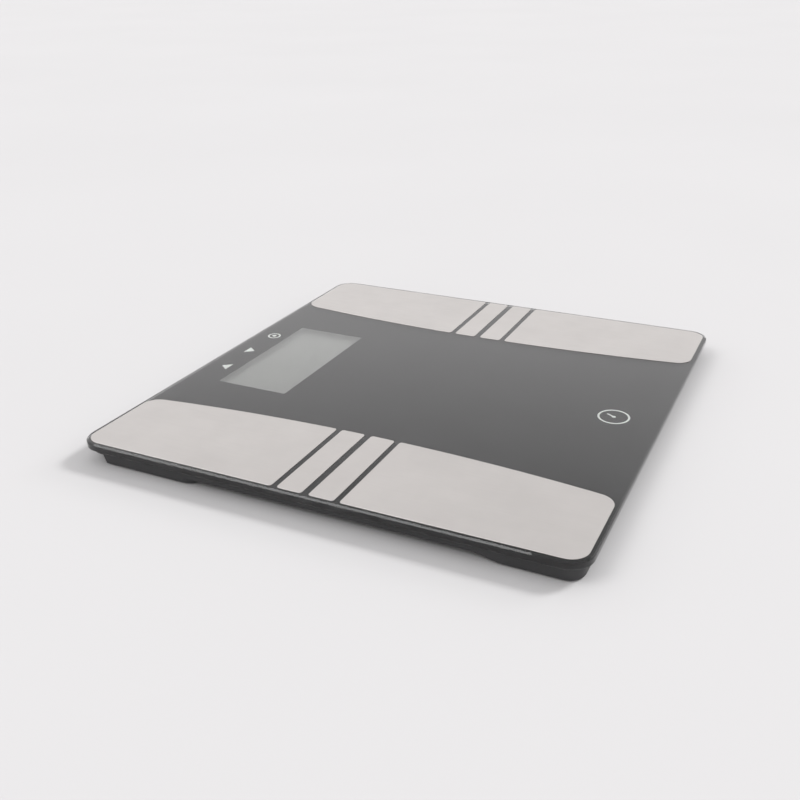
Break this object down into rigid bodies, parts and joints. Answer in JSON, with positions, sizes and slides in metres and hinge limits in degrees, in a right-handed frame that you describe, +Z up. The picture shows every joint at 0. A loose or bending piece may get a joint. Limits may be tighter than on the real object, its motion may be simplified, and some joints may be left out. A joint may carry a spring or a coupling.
{
  "type": "bathroom scale",
  "caption": "Low square glass platform scale with steel electrode plates, a display window, touch keys and load cell feet under the corners.",
  "frame": {"origin": "floor level under the middle of the platform", "axes": "+X to the right of the person standing on it, +Y towards the display end, +Z up"},
  "size_m": [0.297, 0.28, 0.013],
  "materials": {
    "tempered_glass": "clear 4 mm tempered glass with polished, chamfered edges, faint green at the edge",
    "black_ink": "opaque black screen print on the underside of the glass",
    "white_ink": "thin white screen print",
    "stainless_steel": "satin stainless steel sheet with a very fine grain and bright edges",
    "plated_contact": "nickel and gold plated spring metal",
    "wire_insulation": "flexible PVC insulation",
    "amber_film": "amber polyimide film",
    "conductive_foam": "soft dark foam",
    "lcd_grey": "grey-green liquid crystal panel, switched off",
    "frame_plastic": "dark grey moulded ABS",
    "circuit_board": "green solder mask on fibreglass",
    "chip_black": "black epoxy",
    "screw_steel": "zinc plated steel",
    "switch_plastic": "pale moulded plastic",
    "tray_plastic": "fine-textured black ABS",
    "foam_tape": "black foam mounting tape",
    "coin_steel": "nickel plated steel can",
    "cell_steel": "stamped spring steel",
    "holder_plastic": "light grey moulded plastic",
    "foot_plastic": "black moulded plastic",
    "foot_rubber": "soft black rubber"
  },
  "bodies": {
    "platform": {"glass_platform": "tempered_glass", "back_print": "black_ink", "key_marks": "white_ink", "dial_mark": "white_ink", "toe_plate_left": "stainless_steel", "toe_plate_right": "stainless_steel", "heel_plate_left": "stainless_steel", "heel_plate_right": "stainless_steel", "toe_strip_left": "stainless_steel", "toe_strip_right": "stainless_steel", "heel_strip_left": "stainless_steel", "heel_strip_right": "stainless_steel", "electrode_studs": "plated_contact", "electrode_wires": "wire_insulation", "touch_film": "amber_film", "contact_foam": "conductive_foam", "lcd_panel": "lcd_grey", "lcd_frame": "frame_plastic", "lcd_gasket": "conductive_foam", "lcd_ribbon": "amber_film", "main_pcb": "circuit_board", "pcb_components": "chip_black", "pcb_screws": "screw_steel", "tact_switch": "switch_plastic", "coin_cell": "coin_steel", "battery_contact_minus": "plated_contact", "battery_contact_plus": "plated_contact", "base_tray": "tray_plastic", "tray_tape": "foam_tape", "load_cell_toe_left": "cell_steel", "load_cell_toe_right": "cell_steel", "load_cell_heel_left": "cell_steel", "load_cell_heel_right": "cell_steel", "strain_gauges": "switch_plastic", "cell_wires": "wire_insulation", "cell_holder_toe_left": "holder_plastic", "cell_holder_toe_right": "holder_plastic", "cell_holder_heel_left": "holder_plastic", "cell_holder_heel_right": "holder_plastic", "holder_screws": "screw_steel"},
    "foot_toe_left": {"foot_cap_toe_left": "foot_plastic", "foot_pad_toe_left": "foot_rubber"},
    "foot_toe_right": {"foot_cap_toe_right": "foot_plastic", "foot_pad_toe_right": "foot_rubber"},
    "foot_heel_left": {"foot_cap_heel_left": "foot_plastic", "foot_pad_heel_left": "foot_rubber"},
    "foot_heel_right": {"foot_cap_heel_right": "foot_plastic", "foot_pad_heel_right": "foot_rubber"},
    "battery_door": {"battery_door": "tray_plastic"},
    "unit_button": {"unit_button": "frame_plastic", "button_plunger": "switch_plastic"}
  },
  "joints": [
    {"name": "foot_toe_left_drop", "type": "slide", "parent": "platform", "child": "foot_toe_left", "axis": [0, 0, 1], "range_m": [-0.0004, 0]},
    {"name": "foot_toe_right_drop", "type": "slide", "parent": "platform", "child": "foot_toe_right", "axis": [0, 0, 1], "range_m": [-0.0004, 0]},
    {"name": "foot_heel_left_drop", "type": "slide", "parent": "platform", "child": "foot_heel_left", "axis": [0, 0, 1], "range_m": [-0.0004, 0]},
    {"name": "foot_heel_right_drop", "type": "slide", "parent": "platform", "child": "foot_heel_right", "axis": [0, 0, 1], "range_m": [-0.0004, 0]},
    {"name": "battery_door_swing", "type": "hinge", "parent": "platform", "child": "battery_door", "pos_m": [0.038, 0.044, 0.0022], "axis": [1, 0, 0], "range_deg": [0, 85]},
    {"name": "unit_button_press", "type": "slide", "parent": "platform", "child": "unit_button", "axis": [0, 0, 1], "range_m": [0, 0.0005], "stiffness_N_per_m": 2500, "springref_m": -0.0002}
  ]
}
